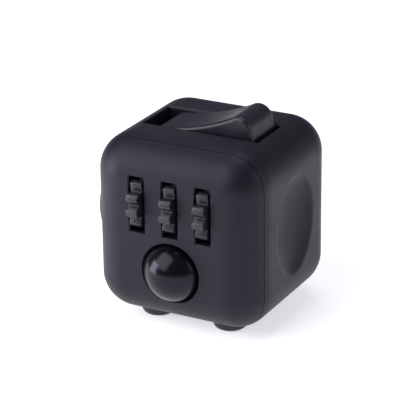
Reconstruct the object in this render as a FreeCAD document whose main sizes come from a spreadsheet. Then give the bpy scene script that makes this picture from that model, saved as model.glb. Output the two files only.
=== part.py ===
"""Fidget cube: a 33 to 34 mm desk toy with a different thing to do on each of its six faces.

Frame: millimetres, +Z up, -Y is the face with the three gears and the ball. The origin is the middle
of the plane that the cube stands on, which is the flat end of the centre click button.
Faces: -Y gears and ball, +X thumb dish, +Z rocker, -X dial, +Y glide stick, -Z five click buttons.
"""
import FreeCAD, Part
import math
import os
import re
import Sketcher

SIZES = {
    # shell
    "half": 16.5, "side": 17.0, "edge_round": 6.85, "wall": 2.0, "side_wall": 2.5, "floor_wall": 3.3, "cavity_round": 3.0,
    "seam": 11.9, "groove_width": 0.16, "groove_depth": 0.16, "lip_wall": 0.9, "lip_reach": 1.7,
    "lip_foot": 4.0, "snap_height": 0.25, "snap_width": 6.0, "fit": 0.1, "running": 0.05, "rim_bevel": 0.2,
    "pocket_lip": 0.4,
    # screws and their bosses
    "boss": 1.6, "shank": 0.7, "pilot_gap": 0.02, "head": 1.4, "head_height": 0.8, "tab": 1.0,
    "screw_bite": 2.4,
    # gears
    "gear_pitch": 6.68, "gear_width": 2.35, "gear_tip": 5.15, "tooth_height": 1.2, "tooth_fill": 0.28,
    "tooth_crest": 0.135, "tooth_bevel": 0.22, "gear_depth": 3.1, "slot_low": 0.34, "slot_side": 0.35,
    "slot_end": 0.21, "slot_wall": 1.4, "axle": 0.9, "spacer": 1.4, "bracket_ear": 1.0,
    "bracket_bar": 0.9, "ear_half": 2.2, "ear_gap": 0.75, "leaf": 0.25, "leaf_gap": 0.2,
    "gear_boss_side": 11.4, "gear_phase": 14.0,
    # ball
    "ball": 5.7, "ball_depth": 1.9, "ball_web": 0.95, "ball_catch": 0.06, "ball_flare": 0.2,
    "lip_start": 0.4, "lip_end": 0.8, "ball_room": 0.2, "cup_inset": 1.0, "cup_wall": 1.0,
    "cup_lead": 0.2, "step_room": 0.25, "retainer_wall": 0.9, "retainer_end": 0.8, "ball_press": 0.7, "ball_boss_side": 8.9,
    "dome_height": 0.5, "ball_coil": 3.6, "wire": 0.22,
    # rocker
    "rocker_long": 10.45, "rocker_half": 4.75, "rocker_end_gap": 0.69, "rocker_side_gap": 0.25,
    "pivot_depth": 1.8, "rocker_shift": 0.35, "rocker_tip": 3.5, "rocker_dip": 0.76, "rocker_crest": 0.2,
    "rocker_under": 2.2, "nose": 2.6, "rocker_soft": 0.7, "rocker_tilt": 15.5, "rocker_pin": 0.6,
    "tray_wall": 1.0, "tray_deep": 6.1, "tray_floor": 0.8, "tray_gap": 0.2, "seat_half": 3.2,
    "seat_top": 3.6, "plunger": 1.15, "plunger_reach": 4.4, "plunger_top": 0.8, "bore_top": 1.9,
    "plunger_travel": 0.5, "tray_tab_side": 8.0, "tray_tab_drop": 1.2,
    # click buttons
    "foot_height": 2.0, "button": 3.2, "button_pitch": 7.5, "button_soft": 1.0, "flange_lip": 0.6,
    "flange_height": 0.7, "stem": 1.2, "stem_height": 0.85, "click": 0.8, "dome": 1.3,
    "plate": 1.0, "plate_half": 12.8, "plate_gap": 0.2, "plate_notch": 5.95, "notch_gap": 0.2, "button_boss_side": 11.3,
    # dial
    "dial": 8.5, "dial_stand": 2.6, "dial_gap": 0.15, "dial_soft": 0.8, "dial_dish": 6.9,
    "dish_deep": 0.9, "dial_shaft": 2.4, "dial_spigot": 1.5, "wheel_tip": 4.9, "wheel_root": 4.5,
    "wheel_width": 1.3, "wheel_gap": 0.1, "washer": 2.2, "washer_thick": 0.3, "finger_hole": 1.15,
    "finger_side": 4.6,
    # glide stick
    "stick_pivot": 6.9, "stick_dome": 6.4, "dome_wall": 0.8, "skirt": 3.4, "stick_hole": 5.0,
    "neck": 1.9, "stick_stem": 1.4, "stick_plate": 9.0, "stick_disc": 5.0, "stick_pad": 6.0,
    "pad_thick": 1.6, "pad_dish": 0.5, "ring_in": 2.9, "ring_out": 3.9, "ring_half": 0.8,
    "trunnion": 0.5, "ear_in": 4.4, "ear_out": 5.4, "ear_top": 1.2, "frame_drop": 4.2,
    "frame_thick": 0.9, "frame_half": 3.2, "stick_boss_side": 8.9, "stick_coil": 1.7,
    # thumb dish
    "dish_y": 8.15, "dish_z": 10.7, "dish_x": 3.6, "dish_depth": 2.0, "dish_soft": 1.5, "dish_pad": 1.0,
    "dish_pad_half": 10.0,
}

PLACES = {
    "mid": "foot_height + side", "top": "foot_height + 2 * side", "floor": "foot_height + floor_wall",
    "ceiling": "foot_height + 2 * side - side_wall", "inner": "half - wall",
    "inner_side": "side - side_wall",
    "pilot": "shank + pilot_gap",
    "gear_y": "gear_depth - half", "gear_z": "mid + slot_low + slot_end + gear_tip",
    "gear_root": "gear_tip - tooth_height",
    "ear_side": "gear_pitch + gear_width / 2 + ear_gap", "leaf_back": "gear_y + gear_tip + leaf_gap + 0.6",
    "ball_lip": "ball - ball_catch", "ball_ring": "ball + ball_flare", "ball_relief": "ball + ball_room",
    "cup": "ball - cup_inset", "cup_reach": "sqrt(ball ^ 2 - (ball - cup_inset) ^ 2)",
    "ball_y": "ball_depth - half", "ball_z": "mid + slot_low - ball_web - ball_ring",
    "cup_front": "ball_depth - wall + cup_reach + cup_lead",
    "step": "ball_depth - wall + ball_press + cup_reach + step_room",
    "ball_seat": "ball_depth - wall + ball", "flange": "button + flange_lip",
    "pocket_long": "rocker_shift + sqrt(rocker_long ^ 2 + rocker_under ^ 2) + rocker_end_gap",
    "pocket_half": "rocker_half + rocker_side_gap",
    "saddle_half": "rocker_long - nose - rocker_crest",
    "saddle": "(saddle_half ^ 2 + rocker_dip ^ 2) / (2 * rocker_dip)",
    "cup_back": "ball_seat + cup_wall", "coil_room": "cup_back + ball_press + 0.05",
    "retainer_back": "coil_room + 3 * wire + dome_height + retainer_end - inner",
    "pivot_z": "top - pivot_depth", "tray_half": "pocket_half + running + tray_wall",
    "tray_long": "pocket_long + tray_gap + tray_wall",
    "stem_top": "floor + running + flange_height + stem_height",
    "plate_under": "stem_top + click + plate_gap",
    "dial_back": "wheel_gap + wheel_width + wheel_gap",
    "stick_y": "half - stick_pivot",
}

doc = FreeCAD.newDocument("FidgetCube")
sheet = doc.addObject("Spreadsheet::Sheet", "Sizes")
for row, (alias, number) in enumerate(SIZES.items(), start=1):
    sheet.set("A%d" % row, alias)
    sheet.set("B%d" % row, str(number))
    sheet.setAlias("B%d" % row, alias)
doc.recompute()

TURNS = {
    "+Z": FreeCAD.Rotation(), "-Z": FreeCAD.Rotation(FreeCAD.Vector(1, 0, 0), 180),
    "+X": FreeCAD.Rotation(FreeCAD.Vector(0, 1, 0), 90),
    "-X": FreeCAD.Rotation(FreeCAD.Vector(0, 1, 0), -90),
    "+Y": FreeCAD.Rotation(FreeCAD.Vector(1, 0, 0), -90),
    "-Y": FreeCAD.Rotation(FreeCAD.Vector(1, 0, 0), 90),
}


def cell(text):
    """Write a formula of size names as one of sheet cells."""
    def swap(word):
        name = word.group()
        if name in PLACES:
            return "(" + cell(PLACES[name]) + ")"
        return "Sizes." + name if name in SIZES else name
    return re.sub(r"[a-z]\w*", swap, text)


def bind(thing, **formulas):
    for name, text in formulas.items():
        thing.setExpression(name, cell(text))


def place(thing, at, turn=FreeCAD.Rotation()):
    """Put a thing at three formulas, after a fixed turn."""
    thing.Placement = FreeCAD.Placement(FreeCAD.Vector(), turn)
    for axis, text in zip("xyz", at):
        thing.setExpression(".Placement.Base." + axis, cell(text))
    return thing


def new(kind, name):
    thing = doc.addObject(kind, name)
    thing.Label = name
    return thing


def box(name, x, y, z):
    """A box between pairs of formulas."""
    thing = new("Part::Box", name)
    for side, (low, high) in zip(("Length", "Width", "Height"), (x, y, z)):
        bind(thing, **{side: "(%s) - (%s)" % (high, low)})
    return place(thing, (x[0], y[0], z[0]))


def around(side, half):
    """The pair of formulas for a span centred on one."""
    return "%s - (%s)" % (side, half), "%s + (%s)" % (side, half)


def rod(name, radius, length, at, axis):
    thing = new("Part::Cylinder", name)
    bind(thing, Radius=radius, Height=length)
    return place(thing, at, TURNS[axis])


def taper(name, start, end, length, at, axis):
    thing = new("Part::Cone", name)
    bind(thing, Radius1=start, Radius2=end, Height=length)
    return place(thing, at, TURNS[axis])


def globe(name, radius, at):
    thing = new("Part::Sphere", name)
    bind(thing, Radius=radius)
    return place(thing, at)


def flare(name, x, y, z, grow):
    """A cutter along +Z that widens by grow on every side between its low and high ends."""
    thing = new("Part::Wedge", name)
    wide = "(%s) - (%s)" % (x[1], x[0])
    deep = "(%s) - (%s)" % (y[1], y[0])
    bind(thing, Xmin="0", Xmax=wide, Zmin="0", Zmax=deep, Ymin="0", Ymax="(%s) - (%s)" % (z[1], z[0]),
         X2min="-(%s)" % grow, X2max="%s + %s" % (wide, grow),
         Z2min="-(%s)" % grow, Z2max="%s + %s" % (deep, grow))
    return place(thing, (x[0], y[1], z[0]), FreeCAD.Rotation(FreeCAD.Vector(1, 0, 0), 90))


def join(name, parts):
    thing = new("Part::MultiFuse", name)
    thing.Shapes = list(parts)
    return thing


def cut(name, base, tools):
    thing = new("Part::Cut", name)
    thing.Base = base
    thing.Tool = tools[0] if len(tools) == 1 else join(name + "_cutters", tools)
    return thing


def overlap(name, base, tool):
    thing = new("Part::Common", name)
    thing.Base = base
    thing.Tool = tool
    return thing


def group(name, parts):
    thing = new("Part::Compound", name)
    thing.Links = list(parts)
    return thing


def origin_feature(body, role):
    return next(item for item in body.Origin.OriginFeatures if item.Role == role)


def outline(body, plane, points):
    """A closed outline of straight sides, each corner bound to two formulas."""
    sketch = body.newObject("Sketcher::SketchObject", body.Name + "_outline")
    sketch.AttachmentSupport = [(origin_feature(body, plane), "")]
    sketch.MapMode = "FlatFace"
    count = len(points)
    ring = [FreeCAD.Vector(math.cos(2 * math.pi * i / count), math.sin(2 * math.pi * i / count), 0)
            for i in range(count)]
    for i in range(count):
        sketch.addGeometry(Part.LineSegment(ring[i], ring[(i + 1) % count]), False)
    for i in range(count):
        sketch.addConstraint(Sketcher.Constraint("Coincident", i, 2, (i + 1) % count, 1))
    for i, corner in enumerate(points):
        for kind, line, text, start in zip(("DistanceX", "DistanceY"), (-2, -1), corner, ring[i]):
            if text == "0":
                sketch.addConstraint(Sketcher.Constraint("PointOnObject", i, 1, line))
                continue
            number = sketch.addConstraint(Sketcher.Constraint(kind, -1, 1, i, 1, start))
            sketch.setExpression("Constraints[%d]" % number, cell(text))
    return sketch


def disc(body, plane, x, y, radius):
    """A circle bound to formulas for its centre and radius."""
    sketch = body.newObject("Sketcher::SketchObject", body.Name + "_circle")
    sketch.AttachmentSupport = [(origin_feature(body, plane), "")]
    sketch.MapMode = "FlatFace"
    sketch.addGeometry(Part.Circle(FreeCAD.Vector(1, 1, 0), FreeCAD.Vector(0, 0, 1), 1), False)
    for kind, line, text in (("DistanceX", -2, x), ("DistanceY", -1, y)):
        if text == "0":
            sketch.addConstraint(Sketcher.Constraint("PointOnObject", 0, 3, line))
            continue
        number = sketch.addConstraint(Sketcher.Constraint(kind, -1, 1, 0, 3, 1.0))
        sketch.setExpression("Constraints[%d]" % number, cell(text))
    number = sketch.addConstraint(Sketcher.Constraint("Radius", 0, 1.0))
    sketch.setExpression("Constraints[%d]" % number, cell(radius))
    return sketch


def soften(body, radius, wanted):
    """Round the edges of the body's last feature that the test picks."""
    doc.recompute()
    last = body.Tip
    names = ["Edge%d" % number for number, edge in enumerate(last.Shape.Edges, start=1) if wanted(edge)]
    if not names:
        raise RuntimeError(body.Name + ": no edge to round")
    fillet = body.newObject("PartDesign::Fillet", body.Name + "_round")
    fillet.Base = (last, names)
    bind(fillet, Radius=radius)
    body.Tip = fillet
    return body


def padded(name, points, length, at=("0", "0", "0"), turn=FreeCAD.Rotation()):
    """A body padded along its own Z from an outline in its XY plane."""
    body = new("PartDesign::Body", name)
    pad = body.newObject("PartDesign::Pad", name + "_pad")
    pad.Profile = outline(body, "XY_Plane", points)
    bind(pad, Length=length)
    body.Tip = pad
    return place(body, at, turn)


def turned(name, points, at, axis="+Z"):
    """A body turned about its own Z from an outline of (radius, height) corners."""
    body = new("PartDesign::Body", name)
    lathe = body.newObject("PartDesign::Revolution", name + "_turning")
    sketch = outline(body, "XZ_Plane", points)
    lathe.Profile = sketch
    lathe.ReferenceAxis = (sketch, ["V_Axis"])
    lathe.Angle = 360
    body.Tip = lathe
    return place(body, at, TURNS[axis])


def rounded_block(name, x, y, z, radius):
    """A box with every edge rounded."""
    corners = [(x[0], y[0]), (x[1], y[0]), (x[1], y[1]), (x[0], y[1])]
    body = padded(name, corners, "(%s) - (%s)" % (z[1], z[0]), ("0", "0", z[0]))
    return soften(body, radius, lambda edge: True)


def circle_at(height, radius_low, radius_high):
    """A test for round edges at one height, between two radii."""
    def test(edge):
        curve = edge.Curve
        return (isinstance(curve, Part.Circle) and abs(curve.Center.z - height) < 1e-4
                and radius_low < curve.Radius < radius_high)
    return test


def coil(name, radius, wire, length, turns, at, axis):
    """A closed-wound spring of round wire."""
    body = new("PartDesign::Body", name)
    winding = body.newObject("PartDesign::AdditiveHelix", name + "_winding")
    sketch = disc(body, "XZ_Plane", radius, wire, wire)
    winding.Profile = sketch
    winding.ReferenceAxis = (sketch, ["V_Axis"])
    winding.Mode = 0
    bind(winding, Pitch="(%s - 2 * %s) / %s" % (length, wire, turns), Height="%s - 2 * %s" % (length, wire))
    body.Tip = winding
    return place(body, at, TURNS[axis])


def toothed(name, bore, root, tip, base, crest, bevel, width, teeth, at, turn):
    """A wheel with straight-sided teeth whose tips are bevelled."""
    body = new("PartDesign::Body", name)
    hub = body.newObject("PartDesign::Revolution", name + "_hub")
    ring = outline(body, "XZ_Plane", [(bore, "0"), (root, "0"), (root, width), (bore, width)])
    hub.Profile = ring
    hub.ReferenceAxis = (ring, ["V_Axis"])
    hub.Angle = 360
    tooth = body.newObject("PartDesign::Pad", name + "_tooth")
    tooth.Profile = outline(body, "XY_Plane", [
        ("-(%s)" % base, root + " - 0.4"), (base, root + " - 0.4"), (base, root),
        (crest, "%s - %s" % (tip, bevel)), ("%s - %s" % (crest, bevel), tip),
        ("-(%s - %s)" % (crest, bevel), tip), ("-(%s)" % crest, "%s - %s" % (tip, bevel)),
        ("-(%s)" % base, root)])
    bind(tooth, Length=width)
    teeth_ring = body.newObject("PartDesign::PolarPattern", name + "_teeth")
    teeth_ring.Originals = [tooth]
    teeth_ring.Axis = (origin_feature(body, "Z_Axis"), [""])
    teeth_ring.Angle = 360
    teeth_ring.Occurrences = teeth
    body.Tip = teeth_ring
    for end, start, rise in (("low", "0", bevel), ("high", width, "%s - %s" % (width, bevel))):
        trim = body.newObject("PartDesign::Groove", "%s_%s_bevel" % (name, end))
        corner = outline(body, "XZ_Plane", [
            ("%s - %s" % (tip, bevel), start), ("%s + 0.5" % tip, start), ("%s + 0.5" % tip, rise),
            (tip, rise)])
        trim.Profile = corner
        trim.ReferenceAxis = (corner, ["V_Axis"])
        trim.Angle = 360
        body.Tip = trim
    return place(body, at, turn)


def screw(name, at, axis, bite="screw_bite + tab"):
    """A pan-head screw whose shank leaves the head's underside along the axis."""
    body = turned(name + "_blank", [
        ("0", "-head_height"), ("head - 0.3", "-head_height"), ("head", "0.3 - head_height"),
        ("head", "0"), ("shank", "0"), ("shank", bite + " - 0.4"), ("0.3", bite), ("0", bite)], at, axis)
    direction = {"X": 0, "Y": 1, "Z": 2}[axis[1]]
    sign = 1 if axis[0] == "+" else -1
    drives = []
    for arm in range(2):
        spans = []
        across = [n for n in range(3) if n != direction]
        for n in range(3):
            if n == direction:
                ends = ("%s - (%s) * head_height" % (at[n], sign), "%s - (%s) * head_height * 0.4" % (at[n], sign))
                spans.append(ends if sign > 0 else ends[::-1])
            else:
                spans.append(around(at[n], "head * 0.68" if across[arm] == n else "head * 0.14"))
        drives.append(box("%s_slot%d" % (name, arm), *spans))
    return cut(name, body, drives)


# ---------------------------------------------------------------- shell
outer = rounded_block("outer_form", ("-side", "side"), ("-half", "half"), ("foot_height", "top"), "edge_round")
cavity = rounded_block("cavity_form", ("-inner_side", "inner_side"), ("-inner", "inner"), ("floor", "ceiling"),
                       "cavity_round")
inset = rounded_block("groove_form", around("0", "side - groove_depth"), around("0", "half - groove_depth"),
                      ("foot_height + groove_depth", "top - groove_depth"), "edge_round - groove_depth")
wide = ("-side - 1", "side + 1")
tall = ("foot_height - 1", "top + 1")
groove_band = box("groove_band", wide, around("-seam", "groove_width / 2"), tall)
groove = cut("groove_ring", groove_band, [inset])


def round_boss(name, at, length, axis):
    return rod(name, "boss", length, at, axis)


GEAR_SCREWS = [(side + "gear_boss_side", "gear_z") for side in ("-", "")]
BALL_SCREWS = [(side + "ball_boss_side", "ball_z") for side in ("-", "")]
GEAR_TAB_Y = "leaf_back - tab - 1.6"
BALL_TAB_Y = "step - inner"


def make_front_cover():
    """The cap with the gear slots and the ball's hole, and a lip that snaps into the housing."""
    cap = overlap("cap_form", outer, box("cap_side", wide, ("-half - 1", "-seam"), tall))
    deep = ("-half - 4", "half")
    lip_hollow = rounded_block("lip_hollow", around("0", "inner_side - lip_wall - fit"), deep,
                               ("floor + lip_wall + fit", "ceiling - lip_wall - fit"),
                               "cavity_round - lip_wall - fit")
    lip_form = rounded_block("lip_form", around("0", "inner_side - fit"), deep, ("floor + fit", "ceiling - fit"),
                             "cavity_round - fit")
    lip = overlap("lip_band", lip_form, box("lip_span", wide, ("-seam - 0.1", "lip_reach - seam"), tall))
    root = overlap("lip_root", cavity, box("lip_root_span", wide, ("-seam - 1.5", "-seam"), tall))
    below = box("lip_end", wide, deep, ("0", "floor + lip_foot"))
    collar = cut("lip", join("lip_whole", [lip, root]), [lip_hollow, below])
    snaps = [box("snap_%d" % i, (low, high), around("-seam + 1.1", "0.2"), around("mid", "snap_width / 2"))
             for i, (low, high) in enumerate((("inner_side - fit - 0.3", "inner_side - fit + snap_height"),
                                              ("fit - inner_side - snap_height", "fit - inner_side + 0.3")))]
    bosses = [round_boss("gear_boss_%d" % i, (x, "-inner - 0.3", z), "%s + inner + 0.3" % GEAR_TAB_Y, "+Y")
              for i, (x, z) in enumerate(GEAR_SCREWS)]
    bosses += [round_boss("ball_boss_%d" % i, (x, "-inner - 0.3", z), "step + 0.3", "+Y")
               for i, (x, z) in enumerate(BALL_SCREWS)]
    shell = cut("cap_shell", cap, [cavity])
    solid = join("front_solid", [shell, collar] + snaps + bosses)
    cuts = [groove]
    slot_z = around("gear_z", "gear_tip + slot_end")
    for i in (-1, 0, 1):
        slot_x = around("%d * gear_pitch" % i, "gear_width / 2 + slot_side")
        cuts.append(box("gear_slot_%d" % (i + 1), slot_x, ("-half - 1", "-inner + 1"), slot_z))
        bevel = new("Part::Wedge", "slot_bevel_%d" % (i + 1))
        bind(bevel, Xmin="-rim_bevel", Xmax="gear_width + 2 * slot_side + rim_bevel", Zmin="-rim_bevel",
             Zmax="2 * (gear_tip + slot_end) + rim_bevel", Ymin="0", Ymax="rim_bevel", X2min="0",
             X2max="gear_width + 2 * slot_side", Z2min="0", Z2max="2 * (gear_tip + slot_end)")
        cuts.append(place(bevel, (slot_x[0], "-half", slot_z[0])))
    cuts.append(box("gear_relief", around("0", "ear_side"), ("slot_wall - half", "0.1 - inner"),
                    around("gear_z", "gear_tip + 0.45")))
    cuts += [
        taper("ball_bevel", "ball_ring", "ball_lip", "lip_start", ("0", "-half", "ball_z"), "+Y"),
        rod("ball_hole", "ball_lip", "wall", ("0", "-half", "ball_z"), "+Y"),
        rod("ball_relief_bore", "ball_relief", "wall", ("0", "lip_end - half", "ball_z"), "+Y"),
        rod("retainer_seat", "ball_relief + retainer_wall + 0.02", "inner - seam + 0.5",
            ("0", "-inner", "ball_z"), "+Y"),
    ]
    cuts += [rod("gear_pilot_%d" % i, "pilot", "screw_bite + 0.1", (x, GEAR_TAB_Y, z), "-Y")
             for i, (x, z) in enumerate(GEAR_SCREWS)]
    cuts += [rod("ball_pilot_%d" % i, "pilot", "screw_bite + 0.1", (x, BALL_TAB_Y, z), "-Y")
             for i, (x, z) in enumerate(BALL_SCREWS)]
    return cut("front_cover", solid, cuts)


BUTTON_SPOTS = {
    "front_left": ("-button_pitch", "-button_pitch"), "front_right": ("button_pitch", "-button_pitch"),
    "back_left": ("-button_pitch", "button_pitch"), "back_right": ("button_pitch", "button_pitch"),
    "centre": ("0", "0"),
}
BUTTON_SCREWS = [("-button_boss_side", "0"), ("button_boss_side", "0"), ("0", "button_boss_side")]
STICK_SCREWS = ["-stick_boss_side", "stick_boss_side"]
TRAY_SCREWS = ["-tray_tab_side", "tray_tab_side"]
TRAY_TAB_Z = "ceiling - tray_tab_drop"
FRAME_Y = "stick_y - frame_drop"
LEAF_Y = "wheel_tip + 0.3"


def dish_form():
    """The thumb dish: an ellipsoid's end with a soft lip where it runs out into the face."""
    body = new("PartDesign::Body", "dish_cutter")
    slab = body.newObject("PartDesign::Pad", "dish_slab")
    slab.Profile = outline(body, "YZ_Plane", [
        ("-half - 1", "-side - 1"), ("half + 1", "-side - 1"), ("half + 1", "side + 1"),
        ("-half - 1", "side + 1")])
    bind(slab, Length="3")
    bowl = body.newObject("PartDesign::AdditiveEllipsoid", "dish_bowl")
    bind(bowl, Radius1="dish_z", Radius2="dish_x", Radius3="dish_y")
    bowl.Angle1, bowl.Angle2, bowl.Angle3 = -90, 90, 360
    bowl.setExpression(".Placement.Base.x", cell("dish_x - dish_depth"))
    body.Tip = bowl
    place(body, ("side", "0", "mid"))
    return soften(body, "dish_soft", lambda edge: not isinstance(edge.Curve, Part.Line)
                  and edge.BoundBox.XLength < 1e-3)


def make_housing():
    """The five-walled box that every other face's mechanism is fixed in."""
    back = overlap("housing_form", outer, box("housing_side", wide, ("-seam", "half + 1"), tall))
    shell = cut("housing_shell", back, [cavity])
    adds = [box("dish_backing", ("inner_side - dish_pad", "inner_side + 0.5"), around("0", "dish_pad_half"),
                around("mid", "dish_pad_half"))]
    adds += [round_boss("button_boss_%d" % i, (x, y, "floor - 0.5"), "plate_under - floor + 0.5", "+Z")
             for i, (x, y) in enumerate(BUTTON_SCREWS)]
    adds += [round_boss("stick_boss_%d" % i, (x, FRAME_Y, "mid"), "inner - (%s) + 0.5" % FRAME_Y, "+Y")
             for i, x in enumerate(STICK_SCREWS)]
    adds += [round_boss("tray_boss_%d" % i, ("0", y, TRAY_TAB_Z), "tray_tab_drop + 0.5", "+Z")
             for i, y in enumerate(TRAY_SCREWS)]
    adds.append(box("leaf_post", ("-inner_side - 0.5", "2 * wheel_gap + wheel_width - inner_side"),
                    around(LEAF_Y + " + leaf / 2", "0.9"), ("mid - 6.4", "mid - 4.4")))
    cuts = [groove, box("leaf_slot", ("-inner_side", "0"), around(LEAF_Y + " + leaf / 2", "leaf / 2 + 0.02"),
                        ("mid - 6.2", "mid"))]
    for i, low in enumerate(("-inner_side - snap_height - 0.05", "inner_side - 0.1")):
        cuts.append(box("snap_groove_%d" % i, (low, "%s + snap_height + 0.15" % low), around("-seam + 1.1", "0.3"),
                        around("mid", "snap_width / 2 + 0.2")))
    for name, (x, y) in BUTTON_SPOTS.items():
        cuts.append(rod("hole_" + name, "button + fit", "floor_wall + 1", (x, y, "foot_height - 0.5"), "+Z"))
        cuts.append(taper("bevel_" + name, "button + fit + rim_bevel", "button + fit", "rim_bevel",
                          (x, y, "foot_height"), "+Z"))
    long_side = around("0", "pocket_long")
    wide_side = around("0", "pocket_half")
    cuts += [
        box("rocker_pocket", long_side, wide_side, ("ceiling - 0.5", "top + 1")),
        box("pin_slot", around("rocker_shift", "rocker_pin"), around("0", "tray_half"),
            ("ceiling - 0.5", "pivot_z")),
        rod("pin_seat", "rocker_pin", "2 * tray_half", ("rocker_shift", "-tray_half", "pivot_z"), "+Y"),
        flare("pocket_bevel", long_side, wide_side, ("top - pocket_lip", "top"), "pocket_lip"),
        rod("dial_hole", "dial_shaft + running", "side_wall + 1", ("-side - 0.5", "0", "mid"), "+X"),
        rod("stick_opening", "stick_hole", "wall + 1", ("0", "inner - 0.5", "mid"), "+Y"),
        taper("stick_bevel", "stick_hole", "stick_hole + 0.8", "0.8", ("0", "half - 0.8", "mid"), "+Y"),
    ]
    cuts.append(dish_form())
    cuts += [rod("button_pilot_%d" % i, "pilot", "screw_bite + 0.1", (x, y, "plate_under"), "-Z")
             for i, (x, y) in enumerate(BUTTON_SCREWS)]
    cuts += [rod("stick_pilot_%d" % i, "pilot", "screw_bite + 0.1", (x, FRAME_Y, "mid"), "+Y")
             for i, x in enumerate(STICK_SCREWS)]
    cuts += [rod("tray_pilot_%d" % i, "pilot", "screw_bite + 0.1", ("0", y, TRAY_TAB_Z), "+Z")
             for i, y in enumerate(TRAY_SCREWS)]
    return cut("housing", join("housing_solid", [shell] + adds), cuts)


# ---------------------------------------------------------------- front face: gears
GEAR_TEETH = 10


def make_gears():
    pieces = []
    phase = FreeCAD.Rotation(FreeCAD.Vector(1, 0, 0), SIZES["gear_phase"]).multiply(TURNS["+X"])
    for i, side in enumerate(("left", "middle", "right")):
        middle = "%d * gear_pitch" % (i - 1)
        pieces.append(toothed("gear_" + side, "axle + running", "gear_root", "gear_tip", "gear_root * tooth_fill",
                              "gear_tip * tooth_crest", "tooth_bevel", "gear_width", GEAR_TEETH,
                              (middle + " - gear_width / 2", "gear_y", "gear_z"), phase))
    pieces.append(turned("gear_axle", [
        ("0", "0"), ("axle - 0.2", "0"), ("axle", "0.2"), ("axle", "2 * (ear_side + bracket_ear) - 0.2"),
        ("axle - 0.2", "2 * (ear_side + bracket_ear)"), ("0", "2 * (ear_side + bracket_ear)")],
        ("-ear_side - bracket_ear", "gear_y", "gear_z"), "+X"))
    rings = []
    inner_length = "gear_pitch - gear_width - 2 * running"
    outer_length = "ear_side - gear_pitch - gear_width / 2 - 2 * running"
    starts = [("-ear_side + running", outer_length), ("-gear_pitch + gear_width / 2 + running", inner_length),
              ("gear_width / 2 + running", inner_length),
              ("gear_pitch + gear_width / 2 + running", outer_length)]
    for i, (start, length) in enumerate(starts):
        rings.append(turned("spacer_%d" % i, [("axle + running", "0"), ("spacer", "0"), ("spacer", length),
                                              ("axle + running", length)], (start, "gear_y", "gear_z"), "+X"))
    pieces.append(group("gear_spacers", rings))
    return pieces


def make_gear_bracket():
    """The U-shaped carrier that holds the axle's ends and the detent spring behind the gears."""
    ear_y = ("fit - inner", "leaf_back + bracket_bar")
    ear_z = around("gear_z", "ear_half")
    solids = [box("bracket_bar_form", around("0", "ear_side + bracket_ear"), ("leaf_back", "leaf_back + bracket_bar"),
                  ("gear_z + 1.2", "gear_z + ear_half + 1.2"))]
    holes = [rod("axle_hole", "axle", "2 * (ear_side + bracket_ear) + 2",
                 ("-ear_side - bracket_ear - 1", "gear_y", "gear_z"), "+X")]
    for i, (x, z) in enumerate(GEAR_SCREWS):
        inward = ("ear_side", "ear_side + bracket_ear") if i else ("-ear_side - bracket_ear", "-ear_side")
        outward = ("ear_side", "gear_boss_side") if i else ("-gear_boss_side", "-ear_side")
        solids.append(box("ear_%d" % i, inward, ear_y, ("gear_z - ear_half", "gear_z + ear_half + 1.2")))
        solids.append(box("tab_%d" % i, outward, (GEAR_TAB_Y, GEAR_TAB_Y + " + tab"), ear_z))
        solids.append(rod("tab_end_%d" % i, "boss", "tab", (x, GEAR_TAB_Y, z), "+Y"))
        holes.append(rod("tab_hole_%d" % i, "pilot", "tab + 1", (x, GEAR_TAB_Y + " - 0.5", z), "+Y"))
    return cut("gear_bracket", join("bracket_solid", solids), holes)


def make_gear_spring():
    """A comb of three spring fingers, one behind each gear, clipped on the bracket's bar."""
    strip_y = ("leaf_back - leaf", "leaf_back")
    parts = [box("comb_strip", around("0", "ear_side - 0.6"), strip_y, ("gear_z + 1.3", "gear_z + ear_half + 1.0"))]
    for i in (-1, 0, 1):
        middle = "%d * gear_pitch" % i
        parts.append(box("finger_%d" % (i + 1), around(middle, "0.9"), strip_y, ("gear_z - 1.0", "gear_z + 1.5")))
        parts.append(rod("bump_%d" % (i + 1), "0.35", "1.8", (middle + " - 0.9", "leaf_back - leaf", "gear_z"), "+X"))
    return join("gear_detent_spring", parts)


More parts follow.
